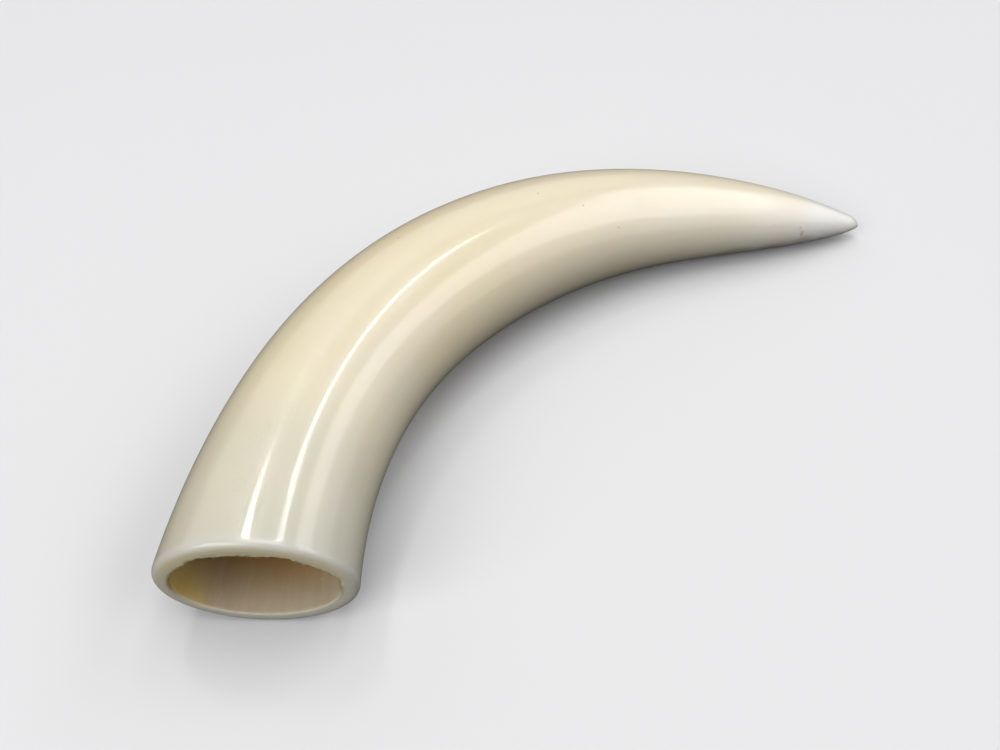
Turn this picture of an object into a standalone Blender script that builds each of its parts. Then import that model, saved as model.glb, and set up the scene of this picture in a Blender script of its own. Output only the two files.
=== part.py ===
"""A polished whale tooth, lying on its side on a flat surface.

The tooth is one piece: a bent, tapering oval horn with an open, conical pulp hollow in its root.
Metres, +Z up. The root's face looks along -Y and the point swings round towards +X. The origin is
at the middle of the underside of the tooth's box, on the surface that the tooth lies on.
"""

import math

import bmesh
import bpy
import numpy as np

# Length along the middle of the tooth, from the root's face to the point
LENGTH = 0.140

# Distance from the root's face, and the way the tooth heads there: degrees from +Y towards +X
HEADINGS = (
    (0.000, 0.0),
    (0.028, 19.3),
    (0.056, 44.0),
    (0.084, 65.7),
    (0.112, 83.3),
    (0.140, 83.0),
)

# Distance from the root's face, and half of the tooth's width there
HALF_WIDTHS = (
    (0.000, 0.0127),
    (0.020, 0.0123),
    (0.040, 0.0123),
    (0.060, 0.0121),
    (0.080, 0.0110),
    (0.100, 0.0090),
    (0.120, 0.0062),
    (0.132, 0.0035),
    (0.140, 0.0011),
)

# Height over width of the oval section, at the root and at the point
ROOT_ROUNDNESS = 0.80
POINT_ROUNDNESS = 0.95

# The last stretch, over which the point is rounded off
POINT_CAP = 0.0025

# The underside lies flat but for the last stretch, which rises towards the point
LIFT_LENGTH = 0.030
POINT_LIFT = 0.0016

# The root's rim: a flat ring with its outer and inner edges rounded by polishing
RIM_RADIUS = 0.0015
LIP_RADIUS = 0.0005

# The pulp hollow: its mouth in the root's face, its depth, and how its width falls with depth
MOUTH_HALF_WIDTH = 0.0102
MOUTH_HALF_HEIGHT = 0.0074
MOUTH_OFFSET_X = -0.0002
MOUTH_OFFSET_Z = -0.0005
HOLLOW_DEPTH = 0.052
HOLLOW_TAPER = 1.35
HOLLOW_BLUNTNESS = 0.75

# The upper part of the mouth's edge is uneven: waves round the ring, as number, phase and height
MOUTH_WAVES = ((3, 0.4, 0.00013), (5, 2.1, 0.00010), (9, 4.4, 0.00005))

# Fineness of the mesh
POINTS_ROUND = 56
BODY_RINGS = 42
CAP_RINGS = 5
EDGE_RINGS = 4
HOLLOW_RINGS = 15
CENTRELINE_STEPS = 1400

IVORY_COLOUR = (0.80, 0.72, 0.55, 1.0)
IVORY_ROUGHNESS = 0.22


def natural_spline(knots):
    """The smoothest curve through the knots, as a function of the first value."""
    x = np.array([k[0] for k in knots])
    y = np.array([k[1] for k in knots])
    gap = np.diff(x)
    slope = np.diff(y) / gap
    count = len(x)
    matrix = np.eye(count)
    right = np.zeros(count)
    for i in range(1, count - 1):
        matrix[i, i - 1 : i + 2] = (gap[i - 1], 2 * (gap[i - 1] + gap[i]), gap[i])
        right[i] = 6 * (slope[i] - slope[i - 1])
    bend = np.linalg.solve(matrix, right)

    def value(at):
        i = int(np.clip(np.searchsorted(x, at) - 1, 0, count - 2))
        t = at - x[i]
        rise = slope[i] - gap[i] * (2 * bend[i] + bend[i + 1]) / 6
        return float(y[i] + rise * t + bend[i] * t**2 / 2 + (bend[i + 1] - bend[i]) * t**3 / (6 * gap[i]))

    return value


heading_at = natural_spline(HEADINGS)
spline_half_width = natural_spline(HALF_WIDTHS)


def centreline():
    """The middle of the tooth seen from above, as distances along it with x and y there."""
    distance = np.linspace(0, LENGTH, CENTRELINE_STEPS + 1)
    heading = np.radians([heading_at(d) for d in distance])
    step = LENGTH / CENTRELINE_STEPS
    x_steps = (np.sin(heading[1:]) + np.sin(heading[:-1])) / 2 * step
    y_steps = (np.cos(heading[1:]) + np.cos(heading[:-1])) / 2 * step
    x = np.concatenate([[0], np.cumsum(x_steps)])
    y = np.concatenate([[0], np.cumsum(y_steps)])
    return distance, x, y


def half_size(distance):
    """Half width and half height of the tooth's oval section."""
    width = spline_half_width(distance)
    into_cap = (distance - (LENGTH - POINT_CAP)) / POINT_CAP
    if into_cap > 0:
        width *= math.sqrt(max(0.0, 1 - into_cap**2))
    roundness = ROOT_ROUNDNESS + (POINT_ROUNDNESS - ROOT_ROUNDNESS) * distance / LENGTH
    return width, width * roundness


def middle_height(distance):
    """Height of the section's middle above the surface that the tooth lies on."""
    into_lift = max(0.0, (distance - (LENGTH - LIFT_LENGTH)) / LIFT_LENGTH)
    return half_size(distance)[1] + POINT_LIFT * into_lift**2


def ring(line, distance, half_width, half_height, centre_height, shift_x=0.0, wave=0.0):
    """One oval ring of points, square to the centreline, with wave lifting its upper half unevenly."""
    distances, xs, ys = line
    x = np.interp(distance, distances, xs)
    y = np.interp(distance, distances, ys)
    heading = math.radians(heading_at(distance))
    side = (math.cos(heading), -math.sin(heading))
    points = []
    for i in range(POINTS_ROUND):
        turn = 2 * math.pi * i / POINTS_ROUND
        uneven = sum(height * math.sin(n * turn + phase) for n, phase, height in MOUTH_WAVES)
        grow = wave * uneven * max(0.0, math.sin(turn))
        across = shift_x + (half_width + grow) * math.cos(turn)
        height = centre_height + (half_height + grow) * math.sin(turn)
        points.append((x + side[0] * across, y + side[1] * across, height))
    return points


def hollow_rings(line):
    """The pulp hollow's wall, from near its end out to where its lip begins to round over."""
    rings = []
    for i in range(HOLLOW_RINGS):
        share = 1 - (i + 1) / (HOLLOW_RINGS + 1)
        depth = LIP_RADIUS + (HOLLOW_DEPTH - LIP_RADIUS) * share**1.2
        narrowing = (1 - (depth / HOLLOW_DEPTH) ** HOLLOW_TAPER) ** HOLLOW_BLUNTNESS
        nearness = 1 - depth / HOLLOW_DEPTH
        centre_height = middle_height(depth) + MOUTH_OFFSET_Z * nearness
        rings.append(
            ring(
                line,
                depth,
                MOUTH_HALF_WIDTH * narrowing,
                MOUTH_HALF_HEIGHT * narrowing,
                centre_height,
                MOUTH_OFFSET_X * nearness,
                nearness**8,
            )
        )
    return rings


def rim_rings(line):
    """The rounded inner lip, the flat ring of the root's face and its rounded outer edge."""
    root_width, root_height = half_size(0)
    mouth_height = root_height + MOUTH_OFFSET_Z
    rings = []
    for i in range(EDGE_RINGS + 1):
        turn = math.pi / 2 * i / EDGE_RINGS
        depth = LIP_RADIUS * (1 - math.sin(turn))
        wider = LIP_RADIUS * (1 - math.cos(turn))
        rings.append(
            ring(
                line,
                depth,
                MOUTH_HALF_WIDTH + wider,
                MOUTH_HALF_HEIGHT + wider,
                mouth_height,
                MOUTH_OFFSET_X,
                1.0,
            )
        )
    for i in range(EDGE_RINGS + 1):
        turn = math.pi / 2 * i / EDGE_RINGS
        depth = RIM_RADIUS * (1 - math.cos(turn))
        inset = RIM_RADIUS * (1 - math.sin(turn))
        rings.append(ring(line, depth, root_width - inset, root_height - inset, root_height))
    return rings


def body_rings(line):
    """The outside of the tooth, from behind the rim to just short of the very point."""
    cap_start = LENGTH - POINT_CAP
    distances = np.linspace(RIM_RADIUS, cap_start, BODY_RINGS + 1)[1:]
    cap = [cap_start + POINT_CAP * math.sin(math.pi / 2 * i / CAP_RINGS) for i in range(1, CAP_RINGS)]
    rings = []
    for distance in (*distances, *cap):
        half_width, half_height = half_size(distance)
        rings.append(ring(line, distance, half_width, half_height, middle_height(distance)))
    return rings


def end_point(line, distance, height):
    """The single point that closes the skin at one end."""
    distances, xs, ys = line
    return (np.interp(distance, distances, xs), np.interp(distance, distances, ys), height)


def tooth_mesh():
    """The whole skin in one closed sheet: up the hollow, over the rim and along the outside."""
    line = centreline()
    rings = hollow_rings(line) + rim_rings(line) + body_rings(line)
    hollow_end = end_point(line, HOLLOW_DEPTH, middle_height(HOLLOW_DEPTH))
    tooth_point = end_point(line, LENGTH, middle_height(LENGTH))

    outside = np.array([p for one in rings for p in one] + [tooth_point])
    middle = (outside.min(axis=0) + outside.max(axis=0)) / 2
    origin = np.array([middle[0], middle[1], outside[:, 2].min()])

    bm = bmesh.new()
    loops = [[bm.verts.new(np.array(p) - origin) for p in one] for one in rings]
    inner = bm.verts.new(np.array(hollow_end) - origin)
    outer = bm.verts.new(np.array(tooth_point) - origin)
    for i in range(POINTS_ROUND):
        j = (i + 1) % POINTS_ROUND
        bm.faces.new((inner, loops[0][i], loops[0][j]))
        bm.faces.new((outer, loops[-1][j], loops[-1][i]))
        for one, other in zip(loops, loops[1:]):
            bm.faces.new((one[j], one[i], other[i], other[j]))
    bmesh.ops.recalc_face_normals(bm, faces=bm.faces)
    mesh = bpy.data.meshes.new("whale_tooth")
    bm.to_mesh(mesh)
    bm.free()
    mesh.shade_smooth()
    return mesh


def ivory():
    """The polished, creamy surface of the tooth."""
    material = bpy.data.materials.new("polished_ivory")
    material.use_nodes = True
    shader = material.node_tree.nodes["Principled BSDF"]
    shader.inputs["Base Color"].default_value = IVORY_COLOUR
    shader.inputs["Roughness"].default_value = IVORY_ROUGHNESS
    shader.inputs["Metallic"].default_value = 0.0
    return material


def main():
    for old in list(bpy.data.objects):
        bpy.data.objects.remove(old)
    mesh = tooth_mesh()
    mesh.materials.append(ivory())
    tooth = bpy.data.objects.new("whale_tooth", mesh)
    bpy.context.scene.collection.objects.link(tooth)


main()
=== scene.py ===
"""The finish of a polished whale tooth, lying on its side on a pale floor.

The tooth is modelled straight first: one skin, drawn out ring by ring from the inner end of its
pulp hollow, over the rim of the root and along the outside to the point. Its lip is chipped, its
straight shape is noted for the grain to follow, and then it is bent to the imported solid's line.
"""

import math
from collections import namedtuple

import bpy
import numpy as np
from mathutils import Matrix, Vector


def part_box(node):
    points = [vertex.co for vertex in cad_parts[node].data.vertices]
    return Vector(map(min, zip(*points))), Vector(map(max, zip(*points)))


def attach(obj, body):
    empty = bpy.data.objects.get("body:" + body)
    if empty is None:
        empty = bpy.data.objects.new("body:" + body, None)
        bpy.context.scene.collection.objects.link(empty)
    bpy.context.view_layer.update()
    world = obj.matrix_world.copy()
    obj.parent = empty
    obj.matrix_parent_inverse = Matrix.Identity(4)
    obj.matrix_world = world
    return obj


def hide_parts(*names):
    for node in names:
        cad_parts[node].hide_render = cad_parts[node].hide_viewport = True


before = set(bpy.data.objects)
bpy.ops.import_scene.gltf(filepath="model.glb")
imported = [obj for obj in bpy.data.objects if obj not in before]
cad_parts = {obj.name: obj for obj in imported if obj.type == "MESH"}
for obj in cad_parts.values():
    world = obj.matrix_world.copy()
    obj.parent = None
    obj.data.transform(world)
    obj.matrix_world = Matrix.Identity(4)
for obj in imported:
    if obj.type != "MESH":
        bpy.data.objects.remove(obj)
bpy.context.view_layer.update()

NODE = "whale_tooth"
BODY = "root"

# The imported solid's own dimensions, in metres and degrees
LENGTH = 0.140
HEADINGS = (
    (0.000, 0.0),
    (0.028, 19.3),
    (0.056, 44.0),
    (0.084, 65.7),
    (0.112, 83.3),
    (0.140, 83.0),
)
HALF_WIDTHS = (
    (0.000, 0.0127),
    (0.020, 0.0123),
    (0.040, 0.0123),
    (0.060, 0.0121),
    (0.080, 0.0110),
    (0.100, 0.0090),
    (0.120, 0.0062),
    (0.132, 0.0035),
    (0.140, 0.0011),
)
ROOT_ROUNDNESS = 0.80
POINT_ROUNDNESS = 0.95
POINT_CAP = 0.0025
LIFT_LENGTH = 0.030
POINT_LIFT = 0.0016
LIP_RADIUS = 0.0005
MOUTH_HALF_WIDTH = 0.0102
MOUTH_HALF_HEIGHT = 0.0074
MOUTH_OFFSET_X = -0.0002
MOUTH_OFFSET_Z = -0.0005
HOLLOW_DEPTH = 0.052
HOLLOW_TAPER = 1.35
HOLLOW_BLUNTNESS = 0.75

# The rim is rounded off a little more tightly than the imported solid's, with one more ring behind it
RIM_RADIUS = 0.0009
BEHIND_RIM = 0.0016

# Fineness of the skin before it is smoothed, and how many times each face is then halved each way.
# The hollow's rings crowd towards its mouth.
POINTS_ROUND = 56
HOLLOW_RINGS = 13
HOLLOW_CROWDING = 1.2
EDGE_RINGS = 4
FACE_RINGS = 2
BODY_RINGS = 38
CAP_RINGS = 4
SMOOTHING = 2
LINE_STEPS = 280

# The mouth's upper edge is broken away in chips: turn round the mouth in degrees, from its inner
# side over the top, then each chip's reach and depth
CHIPS = (
    (14, 0.0012, 0.00030),
    (22, 0.0007, 0.00022),
    (30, 0.0006, 0.00036),
    (37, 0.0005, 0.00030),
    (44, 0.0006, 0.00036),
    (56, 0.0007, 0.00074),
    (62, 0.0010, 0.00056),
    (69, 0.0009, 0.00046),
    (75, 0.0006, 0.00036),
    (81, 0.0004, 0.00050),
    (94, 0.0005, 0.00040),
    (101, 0.0006, 0.00018),
    (112, 0.0006, 0.00030),
    (118, 0.0010, 0.00040),
    (126, 0.0010, 0.00030),
)

# How far a chip leans into the tooth for each part of its depth outward
CHIP_LEAN = 0.5

# All of the lip crumbles a little, less so at its lower part and at its outer side
LIP_BAND = 0.0012
CRUMBLE_GRAIN = 0.0005
CRUMBLE_DEPTH = 0.00030
CRUMBLE_DETAIL = 2
CRUMBLE_CONTRAST = 1.6
UPPER_LIP_GAIN = 2.0
LOWER_LIP_SHARE = 0.2
OUTER_LIP_SHARE = 0.4
OUTER_LIP_START = 0.0045

# The very point is rounded off a little upwards
POINT_RAISED = 0.0005
POINT_REACH = 0.0050

# Hand polishing leaves the outside slightly uneven: length of the waves, their stretch and depth
WAVE_SIZE = 0.009
WAVE_STRETCH = 3.0
WAVE_DEPTH = 0.00008
WAVE_DETAIL = 1
WAVES_START = 0.003
WAVES_FULL = 0.010

# Attributes of the skin that its materials read
STRAIGHT = "straight_place"
FROM_LIP = "from_lip"

# Camera, as the photograph was taken
LENS_MM = 31.0
SENSOR_MM = 36.0
LOOK_AT = Vector((-0.012116, 0.001615, 0.0))
CAMERA_DISTANCE = 0.14037
CAMERA_ELEVATION = math.radians(50)
NEAREST_SEEN = 0.005

FLOOR_RADIUS = 0.8
FLOOR_SIDES = 96
FLOOR_COLOUR = (0.72, 0.72, 0.73, 1.0)
FLOOR_THROWN_BACK = (0.08, 0.08, 0.08, 1.0)
FLOOR_ROUGHNESS = 0.9

# In what follows, lengths are metres on the straight tooth: along, aside (its outer side is +) and
# up. FROM and TO give the stretch over which a change comes in.

# Colours along the tooth: share of its length, and the colour there
TINT_ALONG = (
    (0.00, (0.62, 0.61, 0.53)),
    (0.08, (0.68, 0.65, 0.55)),
    (0.20, (0.78, 0.72, 0.57)),
    (0.40, (0.82, 0.74, 0.57)),
    (0.62, (0.83, 0.76, 0.61)),
    (0.78, (0.86, 0.80, 0.68)),
    (0.88, (0.91, 0.87, 0.79)),
    (0.94, (0.96, 0.95, 0.95)),
    (1.00, (0.97, 0.97, 0.98)),
)

# The warmer outer side
WARM_TINT = (0.98, 0.92, 0.78, 1.0)
WARM_SHARE = 0.6
OUTER_SIDE_FROM = -0.006
OUTER_SIDE_TO = 0.012

# Soft patches and the fine grain
OLIVE_TINT = (0.94, 0.97, 0.80, 1.0)
OLIVE_SHARE = 0.45
OLIVE_CLOUD = {"Size": 0.011, "Stretch": 3.0, "Softness": 0.18}
PEACH_TINT = (1.0, 0.93, 0.87, 1.0)
PEACH_SHARE = 0.4
PEACH_CLOUD = {"Size": 0.009, "Stretch": 2.5, "Softness": 0.2}
PEACH_SHIFT = (0.3, 0.1, 0.2)
GRAIN_TINT = (0.93, 0.90, 0.84, 1.0)
GRAIN_SHARE = 0.25
GRAIN_CLOUD = {"Size": 0.0007, "Stretch": 14.0, "Softness": 0.35, "Detail": 3.0}

# The rim, the flat face and the lip, by the way over the skin from the lip's edge
RIM_COLOUR = (0.61, 0.62, 0.62, 1.0)
RIM_SHARE = 0.5
COOL_FROM = 0.0044
COOL_TO = 0.0020
POLISH_FROM = 0.0018
POLISH_TO = 0.0030
FACE_COLOUR = (0.83, 0.74, 0.50, 1.0)
FACE_FROM = 0.0026
FACE_TO = 0.0012
LIP_COLOUR = (0.42, 0.29, 0.10, 1.0)
LIP_FROM = 0.0008
LIP_TO = 0.0001

# Only the upper part of the face is well tanned, and only the upper lip is brown
UPPER_FACE_FROM = 0.0095
UPPER_FACE_TO = 0.0160
LOWER_FACE_SHARE = 0.25
UPPER_LIP_FROM = 0.006
UPPER_LIP_TO = 0.011

SPECK_COLOUR = (0.45, 0.30, 0.16, 1.0)
BROWN_SPECKS = {"Spacing": 0.013, "Radius": 0.018, "Share": 0.3}

# Faint brown marks: middle and half size, and how strong each is
MARKS = (
    ((0.1268, -0.0047, 0.0056), (0.0006, 0.0007, 0.0009), 0.50),
    ((0.1263, -0.0044, 0.0066), (0.0004, 0.0005, 0.0006), 0.35),
    ((0.1276, -0.0045, 0.0040), (0.0030, 0.0016, 0.0013), 0.30),
    ((0.1214, -0.0055, 0.0036), (0.0040, 0.0020, 0.0014), 0.35),
    ((0.1142, -0.0066, 0.0040), (0.0050, 0.0024, 0.0016), 0.35),
    ((0.0775, 0.0000, 0.0197), (0.0003, 0.0003, 0.0004), 0.45),
    ((0.0838, -0.0043, 0.0181), (0.0003, 0.0003, 0.0004), 0.50),
    ((0.0892, -0.0079, 0.0147), (0.0003, 0.0003, 0.0004), 0.45),
)

# A mark is at its strongest within this part of its half size, and fades out from there
MARK_CORE = 0.2

# The scuffed patch behind the rim
SCUFF_MIDDLE = (0.0045, -0.0006, 0.0202)
SCUFF_HALF_SIZE = (0.0050, 0.0022, 0.0030)
SCUFFS = {"Spacing": 0.00045, "Width": 0.10, "Patchiness": -0.2}
SCUFF_RELIEF = 1.8

IVORY_ROUGHNESS = 0.30
FACE_ROUGHNESS = 0.50
SCRATCH_ROUGHNESS = 0.15
IVORY_COAT = 0.7
FACE_COAT = 0.1
COAT_ROUGHNESS = 0.10
IVORY_IOR = 1.54
FINE_RELIEF = 0.00002
SUBSURFACE = 0.35
SUBSURFACE_RADIUS = (1.0, 0.75, 0.5)
SUBSURFACE_SCALE = 0.0015

# Directions of the scratches, as turns about the three axes in degrees
SCRATCH_TURNS = ((0, 0, 12), (0, 20, -35), (30, -15, 75))
SCRATCH_STRETCH = 0.06
SCRATCH_DETAIL = 1.0
POLISH_SCRATCHES = {"Spacing": 0.0006, "Width": 0.03, "Patchiness": 0.1}

# The scratches come in patches: how many to the metre, and the noise over which they come in
SCRATCHED_PATCHES = 130.0
PATCHES_FROM = 0.45
PATCHES_TO = 0.75

# The wall of the hollow: tan at the mouth, browner further in, partly its own colour and partly painted
# shade
HOLLOW_MOUTH = (0.54, 0.45, 0.32, 1.0)
HOLLOW_DEEP_BROWN_AND_SHADE = (0.46, 0.24, 0.035, 1.0)
DEEP_FROM = 0.0
DEEP_TO = 0.011
# Painted light: the outer wall near the mouth is made lighter and yellower where light falls into the
# hollow, over its own olive tint
HOLLOW_OLIVE_AND_LIT = (0.80, 0.60, 0.19, 1.0)
HOLLOW_OLIVE_AND_LIT_SHARE = 0.9
OUTER_WALL_FROM = 0.0062
OUTER_WALL_TO = 0.0100
NEAR_MOUTH_FROM = 0.008
NEAR_MOUTH_TO = 0.001
HOLLOW_STREAK = (0.72, 0.66, 0.56, 1.0)
HOLLOW_STREAK_SHARE = 0.35
HOLLOW_STREAKS = {"Size": 0.0012, "Stretch": 7.0, "Softness": 0.25, "Detail": 4.0}
HOLLOW_CRUMB = (0.55, 0.46, 0.33, 1.0)
HOLLOW_CRUMBS = {"Spacing": 0.002, "Radius": 0.16, "Share": 0.3}
HOLLOW_ROUGHNESS = 0.75
HOLLOW_RELIEF = 0.00006

# Lamps: name, azimuth from +Y towards +X, elevation, width and height in degrees, brightness, colour
LIGHT_DISTANCE = 1.0
LAMPS = (
    ("right_strip", 26.0, 61.7, 2.2, 7.4, 22.0, (1.0, 1.0, 1.0)),
    ("right_strip_low", 29.0, 57.2, 2.2, 1.6, 22.0, (1.0, 1.0, 1.0)),
    ("left_strip", -28.0, 60.0, 5.0, 7.6, 22.0, (1.0, 1.0, 1.0)),
    ("window", 90.0, 36.0, 90.0, 44.0, 0.72, (1.0, 1.0, 1.0)),
    ("window_middle", 84.0, 47.0, 66.0, 17.0, 2.2, (1.0, 0.98, 1.0)),
    ("overhead", 0.0, 88.0, 40.0, 40.0, 2.5, (1.0, 1.0, 1.0)),
    ("front_left", 225.0, 38.0, 44.0, 30.0, 3.9, (1.0, 1.0, 1.0)),
    ("back", -30.0, 35.0, 90.0, 40.0, 0.6, (1.0, 1.0, 1.0)),
)
WORLD_COLOUR = (1.0, 1.0, 1.0, 1.0)
WORLD_STRENGTH = 0.01
WORLD_SEEN = 0.80

# Layout of the node trees
NODE_COLUMN = 190
NODE_ROW = 90
GROUP_END_COLUMN = 7
SHADER_COLUMN = 9
OUTPUT_COLUMN = 11

# One ring of the skin: how far along, towards the inner side and high its middle is, and its half
# sizes
Ring = namedtuple("Ring", "along across height half_width half_height")


def natural_spline(knots):
    """The smoothest curve through the knots, as a function of the first value."""
    x = np.array([knot[0] for knot in knots])
    y = np.array([knot[1] for knot in knots])
    gap = np.diff(x)
    slope = np.diff(y) / gap
    count = len(x)
    matrix = np.eye(count)
    right = np.zeros(count)
    for i in range(1, count - 1):
        matrix[i, i - 1 : i + 2] = (gap[i - 1], 2 * (gap[i - 1] + gap[i]), gap[i])
        right[i] = 6 * (slope[i] - slope[i - 1])
    bend = np.linalg.solve(matrix, right)

    def value(at):
        i = int(np.clip(np.searchsorted(x, at) - 1, 0, count - 2))
        t = at - x[i]
        rise = slope[i] - gap[i] * (2 * bend[i] + bend[i + 1]) / 6
        return float(y[i] + rise * t + bend[i] * t**2 / 2 + (bend[i + 1] - bend[i]) * t**3 / (6 * gap[i]))

    return value


heading_at = natural_spline(HEADINGS)
half_width_at = natural_spline(HALF_WIDTHS)


def half_size(along):
    """Half width and half height of the oval section."""
    width = half_width_at(along)
    into_cap = (along - (LENGTH - POINT_CAP)) / POINT_CAP
    if into_cap > 0:
        width *= math.sqrt(max(0.0, 1 - into_cap**2))
    roundness = ROOT_ROUNDNESS + (POINT_ROUNDNESS - ROOT_ROUNDNESS) * along / LENGTH
    return width, width * roundness


def middle_height(along):
    """Height of the section's middle above the floor."""
    into_lift = max(0.0, (along - (LENGTH - LIFT_LENGTH)) / LIFT_LENGTH)
    return half_size(along)[1] + POINT_LIFT * into_lift**2


def hollow_rings():
    """The wall of the pulp hollow, from near its inner end out to the mouth."""
    rings = []
    for i in range(HOLLOW_RINGS):
        share = 1 - (i + 1) / (HOLLOW_RINGS + 1)
        depth = LIP_RADIUS + (HOLLOW_DEPTH - LIP_RADIUS) * share**HOLLOW_CROWDING
        narrowing = (1 - (depth / HOLLOW_DEPTH) ** HOLLOW_TAPER) ** HOLLOW_BLUNTNESS
        nearness = 1 - depth / HOLLOW_DEPTH
        rings.append(
            Ring(
                depth,
                MOUTH_OFFSET_X * nearness,
                middle_height(depth) + MOUTH_OFFSET_Z * nearness,
                MOUTH_HALF_WIDTH * narrowing,
                MOUTH_HALF_HEIGHT * narrowing,
            )
        )
    return rings


def lip_rings():
    """The small rounding between the hollow and the flat ring of the root's face."""
    rings = []
    for i in range(EDGE_RINGS + 1):
        turn = math.pi / 2 * i / EDGE_RINGS
        wider = LIP_RADIUS * (1 - math.cos(turn))
        rings.append(
            Ring(
                LIP_RADIUS * (1 - math.sin(turn)),
                MOUTH_OFFSET_X,
                half_size(0)[1] + MOUTH_OFFSET_Z,
                MOUTH_HALF_WIDTH + wider,
                MOUTH_HALF_HEIGHT + wider,
            )
        )
    return rings


def rim_rings():
    """The polished rounding between the flat ring and the outside."""
    half_width, half_height = half_size(0)
    rings = []
    for i in range(EDGE_RINGS + 1):
        turn = math.pi / 2 * i / EDGE_RINGS
        inset = RIM_RADIUS * (1 - math.sin(turn))
        along = RIM_RADIUS * (1 - math.cos(turn))
        rings.append(Ring(along, 0.0, half_height, half_width - inset, half_height - inset))
    return rings


def rings_between(one, other, count):
    """Rings spread evenly from one ring to another, without those two."""
    shares = [(i + 1) / (count + 1) for i in range(count)]
    return [Ring(*(a + (b - a) * share for a, b in zip(one, other))) for share in shares]


def outside_rings():
    """The outside of the tooth, from behind the rim to just short of the very point."""
    cap_start = LENGTH - POINT_CAP
    body = [RIM_RADIUS + (cap_start - RIM_RADIUS) * (i + 1) / BODY_RINGS for i in range(BODY_RINGS)]
    cap = [cap_start + POINT_CAP * math.sin(math.pi / 2 * i / CAP_RINGS) for i in range(1, CAP_RINGS)]
    places = [BEHIND_RIM] + body + cap
    return [Ring(along, 0.0, middle_height(along), *half_size(along)) for along in places]


def skin_rings():
    """Every ring of the skin in order, with the number of the first ring of the lip."""
    hollow, lip, rim = hollow_rings(), lip_rings(), rim_rings()
    face = rings_between(lip[-1], rim[0], FACE_RINGS)
    return hollow + lip + face + rim + outside_rings(), len(hollow)


def deselect_all():
    """Deselects every object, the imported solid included."""
    bpy.ops.object.select_all(action="DESELECT")


def make_active(piece):
    """Selects one object alone."""
    deselect_all()
    piece.select_set(True)
    bpy.context.view_layer.objects.active = piece


def select_none(piece):
    """Deselects all of a piece's vertices, edges and faces."""
    make_active(piece)
    bpy.ops.object.mode_set(mode="EDIT")
    bpy.ops.mesh.select_mode(type="VERT")
    bpy.ops.mesh.select_all(action="DESELECT")
    bpy.ops.object.mode_set(mode="OBJECT")


def select_nearest(piece, place):
    """Selects the vertex of a piece that is nearest to a place."""
    select_none(piece)
    nearest = min(piece.data.vertices, key=lambda vertex: (vertex.co - place).length_squared)
    nearest.select = True


def draw_out(old, new):
    """Extrudes the selected ring and gives the new one its place and size."""
    step = (new.along - old.along, old.across - new.across, new.height - old.height)
    bpy.ops.mesh.extrude_region_move(TRANSFORM_OT_translate={"value": step})
    bpy.ops.transform.resize(
        value=(1, new.half_width / old.half_width, new.half_height / old.half_height),
        center_override=(new.along, -new.across, new.height),
    )


def straight_skin(rings):
    """The whole skin, modelled straight along +X from a filled circle at the hollow's inner end."""
    deselect_all()
    first = rings[0]
    bpy.ops.mesh.primitive_circle_add(
        vertices=POINTS_ROUND,
        radius=1.0,
        fill_type="TRIFAN",
        location=(first.along, -first.across, first.height),
        rotation=(0, math.pi / 2, 0),
    )
    tooth = bpy.context.view_layer.objects.active
    tooth.name = "polished_tooth"
    tooth.data.name = "polished_tooth"
    bpy.ops.object.transform_apply(location=True, rotation=True, scale=True)
    bpy.ops.object.mode_set(mode="EDIT")
    bpy.ops.mesh.select_all(action="SELECT")
    bpy.ops.transform.resize(
        value=(1, first.half_width, first.half_height),
        center_override=(first.along, -first.across, first.height),
    )
    push_in_hub(tooth, Vector((HOLLOW_DEPTH, 0.0, middle_height(HOLLOW_DEPTH))))
    for old, new in zip(rings, rings[1:]):
        draw_out(old, new)
    last = rings[-1]
    to_point = (LENGTH - last.along, 0.0, middle_height(LENGTH) - last.height)
    bpy.ops.mesh.extrude_region_move(TRANSFORM_OT_translate={"value": to_point})
    bpy.ops.mesh.merge(type="CENTER")
    bpy.ops.mesh.select_all(action="SELECT")
    bpy.ops.mesh.normals_make_consistent(inside=False)
    bpy.ops.object.mode_set(mode="OBJECT")
    return tooth


def push_in_hub(tooth, place):
    """Moves the fan's hub to the hollow's inner end and leaves the open edge selected."""
    bpy.ops.mesh.select_all(action="DESELECT")
    bpy.ops.object.mode_set(mode="OBJECT")
    mesh = tooth.data
    middle = sum((vertex.co for vertex in mesh.vertices), Vector()) / len(mesh.vertices)
    hub = min(mesh.vertices, key=lambda vertex: (vertex.co - middle).length)
    hub.co = place
    for edge in mesh.edges:
        edge.select = hub.index not in edge.vertices
    for vertex in mesh.vertices:
        vertex.select = vertex != hub
    for face in mesh.polygons:
        face.select = False
    bpy.ops.object.mode_set(mode="EDIT")
    bpy.ops.mesh.select_mode(type="EDGE")


def note_ways(tooth, rings, lip_number):
    """Notes on every vertex its way over the skin from the lip's edge."""
    mesh = tooth.data
    over_skin = [0.0]
    for old, new in zip(rings, rings[1:]):
        along = new.along - old.along
        outward = (new.half_width - old.half_width + new.half_height - old.half_height) / 2
        over_skin.append(over_skin[-1] + math.hypot(along, outward))
    edge = over_skin[lip_number + EDGE_RINGS // 2]
    ways = [over_skin[0] - edge]
    for distance in over_skin:
        ways += [distance - edge] * POINTS_ROUND
    ways.append(over_skin[-1] - edge)
    from_lip = mesh.attributes.new(FROM_LIP, "FLOAT", "POINT")
    from_lip.data.foreach_set("value", ways)


def ways_from_lip(tooth):
    """Every vertex's way over the skin from the lip's edge, as it was noted."""
    ways = [0.0] * len(tooth.data.vertices)
    tooth.data.attributes[FROM_LIP].data.foreach_get("value", ways)
    return ways


def note_straight_place(tooth):
    """Notes where every vertex is while the tooth is still straight."""
    places = np.empty(len(tooth.data.vertices) * 3, np.float32)
    tooth.data.vertices.foreach_get("co", places)
    straight = tooth.data.attributes.new(STRAIGHT, "FLOAT_VECTOR", "POINT")
    straight.data.foreach_set("vector", places)


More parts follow.
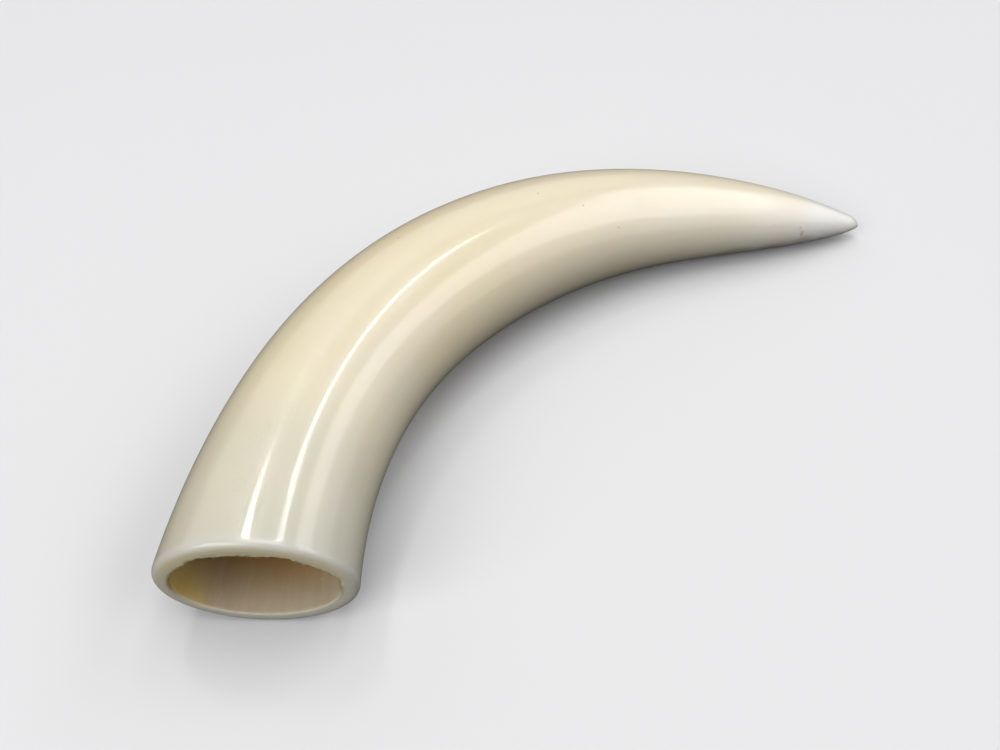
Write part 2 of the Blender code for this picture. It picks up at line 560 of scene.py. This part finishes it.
def apply_modifier(piece, kind, **settings):
    """Gives a piece one modifier with the given settings and applies it."""
    modifier = piece.modifiers.new(kind.title(), kind)
    for name, value in settings.items():
        setattr(modifier, name, value)
    make_active(piece)
    bpy.ops.object.modifier_apply(modifier=modifier.name)


def smooth_skin(tooth):
    """Rounds the skin between its rings."""
    apply_modifier(tooth, "SUBSURF", levels=SMOOTHING, render_levels=SMOOTHING)
    bpy.ops.object.shade_smooth()


def mouth_place(turn):
    """The place on the mouth's edge at a turn in radians, and the way outward from there."""
    outward = Vector((0.0, -math.cos(turn), math.sin(turn)))
    middle = Vector((0.0, -MOUTH_OFFSET_X, half_size(0)[1] + MOUTH_OFFSET_Z))
    return middle + Vector((0.0, MOUTH_HALF_WIDTH * outward.y, MOUTH_HALF_HEIGHT * outward.z)), outward


def height_on_mouth(place):
    """How far up the mouth's edge a place is: 1 at its top, 0 half way and -1 at its bottom."""
    middle = half_size(0)[1] + MOUTH_OFFSET_Z
    return max(-1.0, min(1.0, (place.z - middle) / MOUTH_HALF_HEIGHT))


def refine_lip(tooth):
    """Halves the faces of the mouth's upper edge once more, for the chips."""
    select_none(tooth)
    ways = ways_from_lip(tooth)
    for face in tooth.data.polygons:
        near = all(abs(ways[index]) < LIP_BAND for index in face.vertices)
        face.select = near and height_on_mouth(face.center) > 0
    bpy.ops.object.mode_set(mode="EDIT")
    bpy.ops.mesh.select_mode(type="FACE")
    bpy.ops.mesh.subdivide(number_cuts=1)
    bpy.ops.mesh.select_mode(type="VERT")
    bpy.ops.object.mode_set(mode="OBJECT")


def chip_lip(tooth):
    """Breaks the chips out of the mouth's upper edge, one by one, then lets all of it crumble."""
    for turn, reach, depth in CHIPS:
        place, outward = mouth_place(math.radians(turn))
        select_nearest(tooth, place)
        bpy.ops.object.mode_set(mode="EDIT")
        bpy.ops.transform.translate(
            value=(outward + Vector((CHIP_LEAN, 0.0, 0.0))) * depth,
            use_proportional_edit=True,
            proportional_edit_falloff="ROOT",
            proportional_size=reach,
        )
        bpy.ops.object.mode_set(mode="OBJECT")
    ways = ways_from_lip(tooth)
    edge = tooth.vertex_groups.new(name="lip_edge")
    for vertex in tooth.data.vertices:
        nearness = 1 - abs(ways[vertex.index]) / LIP_BAND
        if nearness > 0:
            share = max(LOWER_LIP_SHARE, min(1.0, UPPER_LIP_GAIN * height_on_mouth(vertex.co)))
            if vertex.co.y > OUTER_LIP_START:
                share *= OUTER_LIP_SHARE
            edge.add([vertex.index], nearness * share, "REPLACE")
    crumble = bpy.data.textures.new("lip_crumble", "CLOUDS")
    crumble.noise_scale = CRUMBLE_GRAIN
    crumble.noise_depth = CRUMBLE_DETAIL
    crumble.noise_type = "HARD_NOISE"
    crumble.contrast = CRUMBLE_CONTRAST
    apply_modifier(
        tooth, "DISPLACE", texture=crumble, vertex_group="lip_edge", mid_level=1.0, strength=CRUMBLE_DEPTH
    )


def grind_face(tooth):
    """Presses whatever stands out of the root's flat face back into its plane."""
    select_none(tooth)
    for vertex in tooth.data.vertices:
        vertex.select = vertex.co.x < 0
    bpy.ops.object.mode_set(mode="EDIT")
    bpy.ops.transform.resize(value=(0.0, 1.0, 1.0), center_override=(0.0, 0.0, 0.0))
    bpy.ops.object.mode_set(mode="OBJECT")


def raise_point(tooth):
    """Lifts the very point a little, with the skin round it following."""
    select_nearest(tooth, Vector((LENGTH, 0.0, middle_height(LENGTH))))
    bpy.ops.object.mode_set(mode="EDIT")
    bpy.ops.transform.translate(
        value=(0.0, 0.0, POINT_RAISED),
        use_proportional_edit=True,
        proportional_edit_falloff="SMOOTH",
        proportional_size=POINT_REACH,
    )
    bpy.ops.object.mode_set(mode="OBJECT")


def hand_polish(tooth):
    """Takes shallow waves off the outside, longer along the tooth than across it."""
    outside = tooth.vertex_groups.new(name="outside")
    for index, way in enumerate(ways_from_lip(tooth)):
        share = (way - WAVES_START) / (WAVES_FULL - WAVES_START)
        if share > 0:
            outside.add([index], min(1.0, share), "REPLACE")
    bpy.ops.object.empty_add(location=(0, 0, 0))
    guide = bpy.context.view_layer.objects.active
    guide.scale = (WAVE_STRETCH, 1.0, 1.0)
    waves = bpy.data.textures.new("polishing_waves", "CLOUDS")
    waves.noise_scale = WAVE_SIZE
    waves.noise_depth = WAVE_DETAIL
    apply_modifier(
        tooth,
        "DISPLACE",
        texture=waves,
        texture_coords="OBJECT",
        texture_coords_object=guide,
        vertex_group="outside",
        mid_level=1.0,
        strength=WAVE_DEPTH,
    )
    bpy.data.objects.remove(guide)


def centreline():
    """A curve along the middle of the bent tooth, seen from above, starting at the root's face."""
    points = [Vector((0.0, 0.0, 0.0))]
    step = LENGTH / LINE_STEPS
    for i in range(LINE_STEPS):
        heading = math.radians(heading_at((i + 0.5) * step))
        points.append(points[-1] + Vector((math.sin(heading), math.cos(heading), 0.0)) * step)
    data = bpy.data.curves.new("centreline", "CURVE")
    data.dimensions = "3D"
    data.twist_mode = "Z_UP"
    data.use_deform_bounds = False
    spline = data.splines.new("POLY")
    spline.points.add(len(points) - 1)
    for knot, point in zip(spline.points, points):
        knot.co = (*point, 1.0)
    line = bpy.data.objects.new("centreline", data)
    bpy.context.scene.collection.objects.link(line)
    return line


def bend_to_line(tooth):
    """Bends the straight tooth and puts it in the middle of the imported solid's box."""
    line = centreline()
    apply_modifier(tooth, "CURVE", object=line, deform_axis="POS_X")
    bpy.data.objects.remove(line)
    low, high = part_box(NODE)
    corners = [Vector(corner) for corner in tooth.bound_box]
    lowest = Vector(map(min, *corners))
    highest = Vector(map(max, *corners))
    shift = (low + high) / 2 - (lowest + highest) / 2
    shift.z = low.z - lowest.z
    bpy.ops.object.mode_set(mode="EDIT")
    bpy.ops.mesh.select_all(action="SELECT")
    bpy.ops.transform.translate(value=shift)
    bpy.ops.object.mode_set(mode="OBJECT")


def put(tree, kind, label, column, row):
    """Adds a labelled node in its column and row of the tree's layout."""
    node = tree.nodes.new(kind)
    node.label = label
    node.location = (column * NODE_COLUMN, -row * NODE_ROW)
    return node


def math_node(tree, label, column, row, operation, one, other=None, clamp=False):
    """A Math node with its inputs linked or set."""
    node = put(tree, "ShaderNodeMath", label, column, row)
    node.operation = operation
    node.use_clamp = clamp
    feed(tree, node.inputs[0], one)
    if other is not None:
        feed(tree, node.inputs[1], other)
    return node.outputs[0]


def feed(tree, socket, source):
    """Links a socket to an output, or gives it a plain value."""
    if isinstance(source, bpy.types.NodeSocket):
        tree.links.new(source, socket)
    else:
        socket.default_value = source


def spread(tree, label, column, row, value, low, high, to_low=0.0, to_high=1.0):
    """Smoothly turns the range low to high of a value into another range."""
    node = put(tree, "ShaderNodeMapRange", label, column, row)
    node.interpolation_type = "SMOOTHSTEP"
    feed(tree, node.inputs["Value"], value)
    node.inputs["From Min"].default_value = low
    node.inputs["From Max"].default_value = high
    node.inputs["To Min"].default_value = to_low
    node.inputs["To Max"].default_value = to_high
    return node.outputs["Result"]


def tinted(tree, label, column, row, share, under, over, blend="MIX"):
    """Mixes one colour over another by a share."""
    node = put(tree, "ShaderNodeMix", label, column, row)
    node.data_type = "RGBA"
    node.blend_type = blend
    feed(tree, node.inputs[0], share)
    feed(tree, node.inputs[6], under)
    feed(tree, node.inputs[7], over)
    return node.outputs[2]


def new_group(name, inputs, outputs):
    """An empty shader node group with named sockets, and its input and output nodes."""
    group = bpy.data.node_groups.new(name, "ShaderNodeTree")
    for title, kind, value in inputs:
        socket = group.interface.new_socket(name=title, in_out="INPUT", socket_type=kind)
        socket.default_value = value
    for title, kind in outputs:
        group.interface.new_socket(name=title, in_out="OUTPUT", socket_type=kind)
    start = put(group, "NodeGroupInput", "", 0, 0)
    end = put(group, "NodeGroupOutput", "", GROUP_END_COLUMN, 0)
    return group, start, end


def use_group(tree, group, label, column, row, place, inputs):
    """Places a group in a material with its own values, and gives its mask."""
    node = put(tree, "ShaderNodeGroup", label, column, row)
    node.node_tree = group
    feed(tree, node.inputs["Place"], place)
    for name, source in inputs.items():
        feed(tree, node.inputs[name], source)
    return node.outputs["Mask"]


def use_mark(tree, mark, label, column, row, place, middle, half_size, strength):
    """Places one soft oval mark, and gives its mask."""
    inputs = {"Middle": middle, "Half size": half_size, "Strength": strength}
    return use_group(tree, mark, label, column, row, place, inputs)


def growth_cloud_group():
    """Soft patches drawn out along the tooth, as its layers grew."""
    group, start, end = new_group(
        "growth_cloud",
        (
            ("Place", "NodeSocketVector", (0, 0, 0)),
            ("Size", "NodeSocketFloat", 0.01),
            ("Stretch", "NodeSocketFloat", 3.0),
            ("Softness", "NodeSocketFloat", 0.2),
            ("Detail", "NodeSocketFloat", 2.0),
        ),
        (("Mask", "NodeSocketFloat"),),
    )
    fineness = math_node(group, "Across", 1, 1, "DIVIDE", 1.0, start.outputs["Size"])
    along = math_node(group, "Along", 2, 1, "DIVIDE", fineness, start.outputs["Stretch"])
    scale = put(group, "ShaderNodeCombineXYZ", "Fineness", 3, 1)
    feed(group, scale.inputs[0], along)
    feed(group, scale.inputs[1], fineness)
    feed(group, scale.inputs[2], fineness)
    place = put(group, "ShaderNodeVectorMath", "Drawn out", 4, 0)
    place.operation = "MULTIPLY"
    feed(group, place.inputs[0], start.outputs["Place"])
    feed(group, place.inputs[1], scale.outputs[0])
    noise = put(group, "ShaderNodeTexNoise", "Patches", 5, 0)
    noise.inputs["Scale"].default_value = 1.0
    feed(group, noise.inputs["Vector"], place.outputs[0])
    feed(group, noise.inputs["Detail"], start.outputs["Detail"])
    low = math_node(group, "Low", 5, 2, "SUBTRACT", 0.5, start.outputs["Softness"])
    high = math_node(group, "High", 5, 3, "ADD", 0.5, start.outputs["Softness"])
    mask = put(group, "ShaderNodeMapRange", "Mask", 6, 0)
    feed(group, mask.inputs["Value"], noise.outputs[0])
    feed(group, mask.inputs["From Min"], low)
    feed(group, mask.inputs["From Max"], high)
    feed(group, end.inputs["Mask"], mask.outputs["Result"])
    return group


def fine_scratches_group():
    """Thin straight scratches in three directions, here and there."""
    group, start, end = new_group(
        "fine_scratches",
        (
            ("Place", "NodeSocketVector", (0, 0, 0)),
            ("Spacing", "NodeSocketFloat", 0.0006),
            ("Width", "NodeSocketFloat", 0.03),
            ("Patchiness", "NodeSocketFloat", 0.1),
        ),
        (("Mask", "NodeSocketFloat"),),
    )
    fineness = math_node(group, "Fineness", 1, 2, "DIVIDE", 1.0, start.outputs["Spacing"])
    found = None
    for number, turn in enumerate(SCRATCH_TURNS):
        row = number * 3
        turned = put(group, "ShaderNodeMapping", "Turned", 2, row)
        turned.inputs["Rotation"].default_value = [math.radians(angle) for angle in turn]
        feed(group, turned.inputs["Vector"], start.outputs["Place"])
        drawn = put(group, "ShaderNodeMapping", "Drawn out", 3, row)
        drawn.inputs["Scale"].default_value = (SCRATCH_STRETCH, 1.0, 1.0)
        drawn.inputs["Location"].default_value = (number, number, number)
        feed(group, drawn.inputs["Vector"], turned.outputs[0])
        noise = put(group, "ShaderNodeTexNoise", "Scratches", 4, row)
        noise.inputs["Detail"].default_value = SCRATCH_DETAIL
        feed(group, noise.inputs["Scale"], fineness)
        feed(group, noise.inputs["Vector"], drawn.outputs[0])
        off = math_node(group, "Off the line", 5, row, "SUBTRACT", noise.outputs[0], 0.5)
        off = math_node(group, "Either side", 5, row + 1, "ABSOLUTE", off)
        share = math_node(group, "In widths", 6, row, "DIVIDE", off, start.outputs["Width"])
        line = math_node(group, "Line", 6, row + 1, "SUBTRACT", 1.0, share, clamp=True)
        if found is not None:
            line = math_node(group, "Any", 6, row + 2, "MAXIMUM", found, line)
        found = line
    patches = put(group, "ShaderNodeTexNoise", "Scratched patches", 4, 9)
    patches.inputs["Scale"].default_value = SCRATCHED_PATCHES
    feed(group, patches.inputs["Vector"], start.outputs["Place"])
    low = math_node(group, "Least", 5, 9, "ADD", PATCHES_FROM, start.outputs["Patchiness"])
    here = put(group, "ShaderNodeMapRange", "Where", 6, 9)
    feed(group, here.inputs["Value"], patches.outputs[0])
    feed(group, here.inputs["From Min"], low)
    here.inputs["From Max"].default_value = PATCHES_TO
    feed(group, end.inputs["Mask"], math_node(group, "Here", 6, 12, "MULTIPLY", found, here.outputs[0]))
    return group


def specks_group():
    """Small round specks, of which only some places have one."""
    group, start, end = new_group(
        "specks",
        (
            ("Place", "NodeSocketVector", (0, 0, 0)),
            ("Spacing", "NodeSocketFloat", 0.004),
            ("Radius", "NodeSocketFloat", 0.08),
            ("Share", "NodeSocketFloat", 0.3),
        ),
        (("Mask", "NodeSocketFloat"),),
    )
    fineness = math_node(group, "Fineness", 1, 1, "DIVIDE", 1.0, start.outputs["Spacing"])
    cells = put(group, "ShaderNodeTexVoronoi", "Places", 2, 0)
    feed(group, cells.inputs["Vector"], start.outputs["Place"])
    feed(group, cells.inputs["Scale"], fineness)
    depth = math_node(group, "In radii", 3, 0, "DIVIDE", cells.outputs["Distance"], start.outputs["Radius"])
    spot = math_node(group, "Spot", 4, 0, "SUBTRACT", 1.0, depth, clamp=True)
    chance = put(group, "ShaderNodeSeparateColor", "Chance", 3, 2)
    feed(group, chance.inputs[0], cells.outputs["Color"])
    chosen = math_node(group, "Chosen", 4, 2, "LESS_THAN", chance.outputs[0], start.outputs["Share"])
    feed(group, end.inputs["Mask"], math_node(group, "Speck", 5, 0, "MULTIPLY", spot, chosen))
    return group


def mark_group():
    """One soft oval mark round a place."""
    group, start, end = new_group(
        "mark",
        (
            ("Place", "NodeSocketVector", (0, 0, 0)),
            ("Middle", "NodeSocketVector", (0, 0, 0)),
            ("Half size", "NodeSocketVector", (0.001, 0.001, 0.001)),
            ("Strength", "NodeSocketFloat", 1.0),
        ),
        (("Mask", "NodeSocketFloat"),),
    )
    off = put(group, "ShaderNodeVectorMath", "Off its middle", 1, 0)
    off.operation = "SUBTRACT"
    feed(group, off.inputs[0], start.outputs["Place"])
    feed(group, off.inputs[1], start.outputs["Middle"])
    sizes = put(group, "ShaderNodeVectorMath", "In half sizes", 2, 0)
    sizes.operation = "DIVIDE"
    feed(group, sizes.inputs[0], off.outputs[0])
    feed(group, sizes.inputs[1], start.outputs["Half size"])
    far = put(group, "ShaderNodeVectorMath", "How far", 3, 0)
    far.operation = "LENGTH"
    feed(group, far.inputs[0], sizes.outputs[0])
    soft = spread(group, "Soft edge", 4, 0, far.outputs["Value"], 1.0, MARK_CORE)
    shown = math_node(group, "Mark", 5, 0, "MULTIPLY", soft, start.outputs["Strength"])
    feed(group, end.inputs["Mask"], shown)
    return group


def ramp(tree, label, column, row, value, stops):
    """A smooth colour ramp through the stops."""
    node = put(tree, "ShaderNodeValToRGB", label, column, row)
    node.color_ramp.interpolation = "EASE"
    while len(node.color_ramp.elements) < len(stops):
        node.color_ramp.elements.new(0.5)
    for element, (place, colour) in zip(node.color_ramp.elements, stops):
        element.position = place
        element.color = (*colour, 1.0)
    feed(tree, node.inputs[0], value)
    return node.outputs["Color"]


def new_material(name):
    """A material with its tree and its shader."""
    material = bpy.data.materials.new(name)
    material.use_nodes = True
    tree = material.node_tree
    shader = tree.nodes["Principled BSDF"]
    shader.location = (SHADER_COLUMN * NODE_COLUMN, 0)
    tree.nodes["Material Output"].location = (OUTPUT_COLUMN * NODE_COLUMN, 0)
    return material, tree, shader


def straight_place(tree):
    """The straight place that was noted on the skin, whole and as along, aside and up."""
    note = put(tree, "ShaderNodeAttribute", "Straight place", -2, 2)
    note.attribute_name = STRAIGHT
    parts = put(tree, "ShaderNodeSeparateXYZ", "Along, aside, up", -1, 2)
    feed(tree, parts.inputs[0], note.outputs["Vector"])
    return note.outputs["Vector"], *parts.outputs


def way_from_lip(tree):
    """The way over the skin from the lip's edge that was noted on it."""
    note = put(tree, "ShaderNodeAttribute", "From the lip", -2, 5)
    note.attribute_name = FROM_LIP
    return note.outputs["Fac"]


def raise_surface(tree, shader, label, height, depth):
    """Gives a shader a fine relief of this depth."""
    bump = put(tree, "ShaderNodeBump", label, 8, 9)
    bump.inputs["Distance"].default_value = depth
    feed(tree, bump.inputs["Height"], height)
    feed(tree, shader.inputs["Normal"], bump.outputs[0])


def scatter_light(shader):
    """Lets some light into the tooth, as ivory does."""
    shader.inputs["Subsurface Weight"].default_value = SUBSURFACE
    shader.inputs["Subsurface Radius"].default_value = SUBSURFACE_RADIUS
    shader.inputs["Subsurface Scale"].default_value = SUBSURFACE_SCALE


def ivory_tints(tree, place, along, aside, cloud, grain):
    """The polished outside's own colours, from the root to the point."""
    share = math_node(tree, "Share of length", 0, 0, "DIVIDE", along, LENGTH)
    colour = ramp(tree, "Tint along the tooth", 1, 0, share, TINT_ALONG)
    outer = spread(tree, "Outer side", 1, 3, aside, OUTER_SIDE_FROM, OUTER_SIDE_TO, 0.0, WARM_SHARE)
    colour = tinted(tree, "Warmer outer side", 2, 0, outer, colour, WARM_TINT, "MULTIPLY")
    olive = use_group(tree, cloud, "Olive patches", 1, 5, place, OLIVE_CLOUD)
    olive = math_node(tree, "Faint", 2, 5, "MULTIPLY", olive, OLIVE_SHARE)
    colour = tinted(tree, "Olive patches", 3, 0, olive, colour, OLIVE_TINT, "MULTIPLY")
    shifted = put(tree, "ShaderNodeMapping", "Elsewhere", 0, 7)
    shifted.inputs["Location"].default_value = PEACH_SHIFT
    feed(tree, shifted.inputs["Vector"], place)
    peach = use_group(tree, cloud, "Peach patches", 1, 7, shifted.outputs[0], PEACH_CLOUD)
    peach = math_node(tree, "Faint", 2, 7, "MULTIPLY", peach, PEACH_SHARE)
    colour = tinted(tree, "Peach patches", 4, 0, peach, colour, PEACH_TINT, "MULTIPLY")
    return tinted(tree, "Grain", 5, 0, grain, colour, GRAIN_TINT, "MULTIPLY")


def root_tints(tree, colour, up, from_lip):
    """The root's own colours over the outside's: a cool rim, a tanned face and a brown lip."""
    cool = spread(tree, "Into the rim", 2, 11, from_lip, COOL_FROM, COOL_TO, 0.0, RIM_SHARE)
    colour = tinted(tree, "Cool rim", 6, 0, cool, colour, RIM_COLOUR)
    face = spread(tree, "On the face", 2, 13, from_lip, FACE_FROM, FACE_TO)
    upper = spread(tree, "Upper face", 2, 14, up, UPPER_FACE_FROM, UPPER_FACE_TO, LOWER_FACE_SHARE, 1.0)
    face = math_node(tree, "Mostly above", 3, 15, "MULTIPLY", face, upper)
    colour = tinted(tree, "Tanned face", 7, 0, face, colour, FACE_COLOUR)
    lip = spread(tree, "At the lip", 3, 13, from_lip, LIP_FROM, LIP_TO)
    upper = spread(tree, "Upper lip", 3, 14, up, UPPER_LIP_FROM, UPPER_LIP_TO)
    lip = math_node(tree, "Upper lip alone", 4, 13, "MULTIPLY", lip, upper)
    return tinted(tree, "Browner lip", 7, 2, lip, colour, LIP_COLOUR)


def brown_marks(tree, colour, place, specks, mark):
    """Small brown specks here and there, and the marks at their own places."""
    stained = use_group(tree, specks, "Brown specks", 4, 6, place, BROWN_SPECKS)
    for number, (middle, reach, strength) in enumerate(MARKS):
        row = 17 + 3 * number
        spot = use_mark(tree, mark, "Brown mark", 4, row, place, middle, reach, strength)
        stained = math_node(tree, "Any", 5, row, "MAXIMUM", stained, spot)
    return tinted(tree, "Brown marks", 8, 0, stained, colour, SPECK_COLOUR)


def ivory_material(cloud, scratches, specks, mark):
    """The polished outside, and the duller, tanned flat ring of the root's face."""
    material, tree, shader = new_material("polished_ivory")
    place, along, aside, up = straight_place(tree)
    from_lip = way_from_lip(tree)
    grain = use_group(tree, cloud, "Grain", 1, 9, place, GRAIN_CLOUD)
    grain = math_node(tree, "Faint", 2, 9, "MULTIPLY", grain, GRAIN_SHARE)
    colour = ivory_tints(tree, place, along, aside, cloud, grain)
    colour = root_tints(tree, colour, up, from_lip)
    colour = brown_marks(tree, colour, place, specks, mark)
    feed(tree, shader.inputs["Base Color"], colour)

    lines = use_group(tree, scratches, "Polish scratches", 4, 9, place, POLISH_SCRATCHES)
    dull = math_node(tree, "Dull scratches", 5, 9, "MULTIPLY", lines, SCRATCH_ROUGHNESS)
    rough = spread(
        tree, "Duller face", 5, 11, from_lip, POLISH_TO, POLISH_FROM, IVORY_ROUGHNESS, FACE_ROUGHNESS
    )
    feed(tree, shader.inputs["Roughness"], math_node(tree, "Roughness", 6, 9, "ADD", rough, dull))
    coat = spread(tree, "Polish", 6, 11, from_lip, POLISH_FROM, POLISH_TO, FACE_COAT, IVORY_COAT)
    feed(tree, shader.inputs["Coat Weight"], coat)

    height = math_node(tree, "Grooves", 6, 13, "SUBTRACT", grain, lines)
    patch = use_mark(tree, mark, "Scuffed patch", 5, 14, place, SCUFF_MIDDLE, SCUFF_HALF_SIZE, 1.0)
    scuffs = use_group(tree, scratches, "Scuffs", 5, 16, place, SCUFFS)
    scuffs = math_node(tree, "Scuffs there", 6, 14, "MULTIPLY", patch, scuffs)
    scuffs = math_node(tree, "Deeper", 7, 14, "MULTIPLY", scuffs, SCUFF_RELIEF)
    height = math_node(tree, "And scuffs", 7, 13, "SUBTRACT", height, scuffs)
    raise_surface(tree, shader, "Fine relief", height, FINE_RELIEF)

    shader.inputs["Coat Roughness"].default_value = COAT_ROUGHNESS
    shader.inputs["IOR"].default_value = IVORY_IOR
    scatter_light(shader)
    return material


def hollow_material(cloud, specks):
    """The rough wall of the pulp hollow: tan at its mouth, browner with painted shade further in, olive
    with painted light at its outer side.
    """
    material, tree, shader = new_material("pulp_hollow")
    place, along, aside, _ = straight_place(tree)
    # Painted shade: the wall turns darker and browner further into the hollow, over its own browner colour
    deeper_and_shaded = spread(tree, "Further in", 0, 0, along, DEEP_FROM, DEEP_TO)
    colour = tinted(tree, "Browner and shaded inside", 1, 0, deeper_and_shaded, HOLLOW_MOUTH, HOLLOW_DEEP_BROWN_AND_SHADE)
    # Painted light: the outer wall near the mouth, lighter and yellower where light falls in, over its own
    # olive tint
    side = spread(tree, "Outer wall", 0, 3, aside, OUTER_WALL_FROM, OUTER_WALL_TO, 0.0, HOLLOW_OLIVE_AND_LIT_SHARE)
    shallow = spread(tree, "Near the mouth", 0, 4, along, NEAR_MOUTH_FROM, NEAR_MOUTH_TO)
    side = math_node(tree, "Outer wall's edge", 1, 3, "MULTIPLY", side, shallow)
    colour = tinted(tree, "Olive tint and painted light", 2, 0, side, colour, HOLLOW_OLIVE_AND_LIT)
    streaks = use_group(tree, cloud, "Streaks", 1, 5, place, HOLLOW_STREAKS)
    faint = math_node(tree, "Faint", 2, 5, "MULTIPLY", streaks, HOLLOW_STREAK_SHARE)
    colour = tinted(tree, "Streaks", 3, 0, faint, colour, HOLLOW_STREAK, "MULTIPLY")
    crumbs = use_group(tree, specks, "Crumbs", 1, 8, place, HOLLOW_CRUMBS)
    colour = tinted(tree, "Crumbs", 4, 0, crumbs, colour, HOLLOW_CRUMB)
    feed(tree, shader.inputs["Base Color"], colour)
    raise_surface(tree, shader, "Rough wall", streaks, HOLLOW_RELIEF)
    shader.inputs["Roughness"].default_value = HOLLOW_ROUGHNESS
    scatter_light(shader)
    return material


def lay_materials(tooth):
    """Gives the hollow's wall its own material and the rest the polished one."""
    cloud = growth_cloud_group()
    specks = specks_group()
    tooth.data.materials.append(ivory_material(cloud, fine_scratches_group(), specks, mark_group()))
    tooth.data.materials.append(hollow_material(cloud, specks))
    ways = ways_from_lip(tooth)
    for face in tooth.data.polygons:
        inside = all(ways[index] < 0 for index in face.vertices)
        face.material_index = 1 if inside else 0


def lay_floor():
    """A plain pale floor that throws little light back, so that the tooth's lower sides shade off."""
    bpy.ops.mesh.primitive_circle_add(vertices=FLOOR_SIDES, radius=FLOOR_RADIUS, fill_type="NGON")
    floor = bpy.context.view_layer.objects.active
    floor.name = "floor"
    material = bpy.data.materials.new("pale_floor")
    material.use_nodes = True
    tree = material.node_tree
    shader = tree.nodes["Principled BSDF"]
    seen = put(tree, "ShaderNodeLightPath", "Seen directly", -2, 0)
    colour = tinted(
        tree, "Pale to look at", -1, 0, seen.outputs["Is Camera Ray"], FLOOR_THROWN_BACK, FLOOR_COLOUR
    )
    feed(tree, shader.inputs["Base Color"], colour)
    shader.inputs["Roughness"].default_value = FLOOR_ROUGHNESS
    floor.data.materials.append(material)


def direction(azimuth, elevation):
    """A direction from its azimuth, from +Y towards +X, and its elevation, in degrees."""
    azimuth, elevation = math.radians(azimuth), math.radians(elevation)
    flat = math.cos(elevation)
    return Vector((flat * math.sin(azimuth), flat * math.cos(azimuth), math.sin(elevation)))


def hang_light(name, azimuth, elevation, wide, high, brightness, colour):
    """A rectangular light that faces the tooth, its size as seen from there in degrees."""
    towards = direction(azimuth, elevation)
    bpy.ops.object.light_add(type="AREA", location=towards * LIGHT_DISTANCE)
    lamp = bpy.context.view_layer.objects.active
    lamp.name = name
    lamp.rotation_euler = towards.to_track_quat("Z", "Y").to_euler()
    light = lamp.data
    light.shape = "RECTANGLE"
    light.size = 2 * LIGHT_DISTANCE * math.tan(math.radians(wide / 2))
    light.size_y = 2 * LIGHT_DISTANCE * math.tan(math.radians(high / 2))
    light.color = colour
    light.energy = brightness * math.pi * light.size * light.size_y


def light_studio():
    """Hangs the lamps in a room that is pale to look at but throws hardly any light back."""
    for lamp in LAMPS:
        hang_light(*lamp)
    world = bpy.data.worlds.new("studio")
    world.use_nodes = True
    tree = world.node_tree
    background = tree.nodes["Background"]
    background.inputs["Color"].default_value = WORLD_COLOUR
    seen = put(tree, "ShaderNodeLightPath", "Seen directly", -2, 0)
    pale = math_node(tree, "Pale to look at", -1, 0, "MULTIPLY", seen.outputs["Is Camera Ray"], WORLD_SEEN)
    strength = math_node(tree, "Strength", -1, 2, "MAXIMUM", pale, WORLD_STRENGTH)
    feed(tree, background.inputs["Strength"], strength)
    bpy.context.scene.world = world


def set_camera():
    """Sets the camera up as the photograph was taken."""
    back = Vector((0.0, -math.cos(CAMERA_ELEVATION), math.sin(CAMERA_ELEVATION)))
    bpy.ops.object.camera_add(
        location=LOOK_AT + back * CAMERA_DISTANCE,
        rotation=(math.pi / 2 - CAMERA_ELEVATION, 0, 0),
    )
    camera = bpy.context.view_layer.objects.active
    camera.name = "photo_camera"
    camera.data.lens = LENS_MM
    camera.data.sensor_width = SENSOR_MM
    camera.data.clip_start = NEAREST_SEEN
    bpy.context.scene.camera = camera


rings, lip_number = skin_rings()
tooth = straight_skin(rings)
note_ways(tooth, rings, lip_number)
smooth_skin(tooth)
refine_lip(tooth)
chip_lip(tooth)
grind_face(tooth)
raise_point(tooth)
hand_polish(tooth)
note_straight_place(tooth)
bend_to_line(tooth)
lay_materials(tooth)
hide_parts(NODE)
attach(tooth, BODY)
lay_floor()
light_studio()
set_camera()
bpy.context.scene.view_settings.view_transform = "Standard"
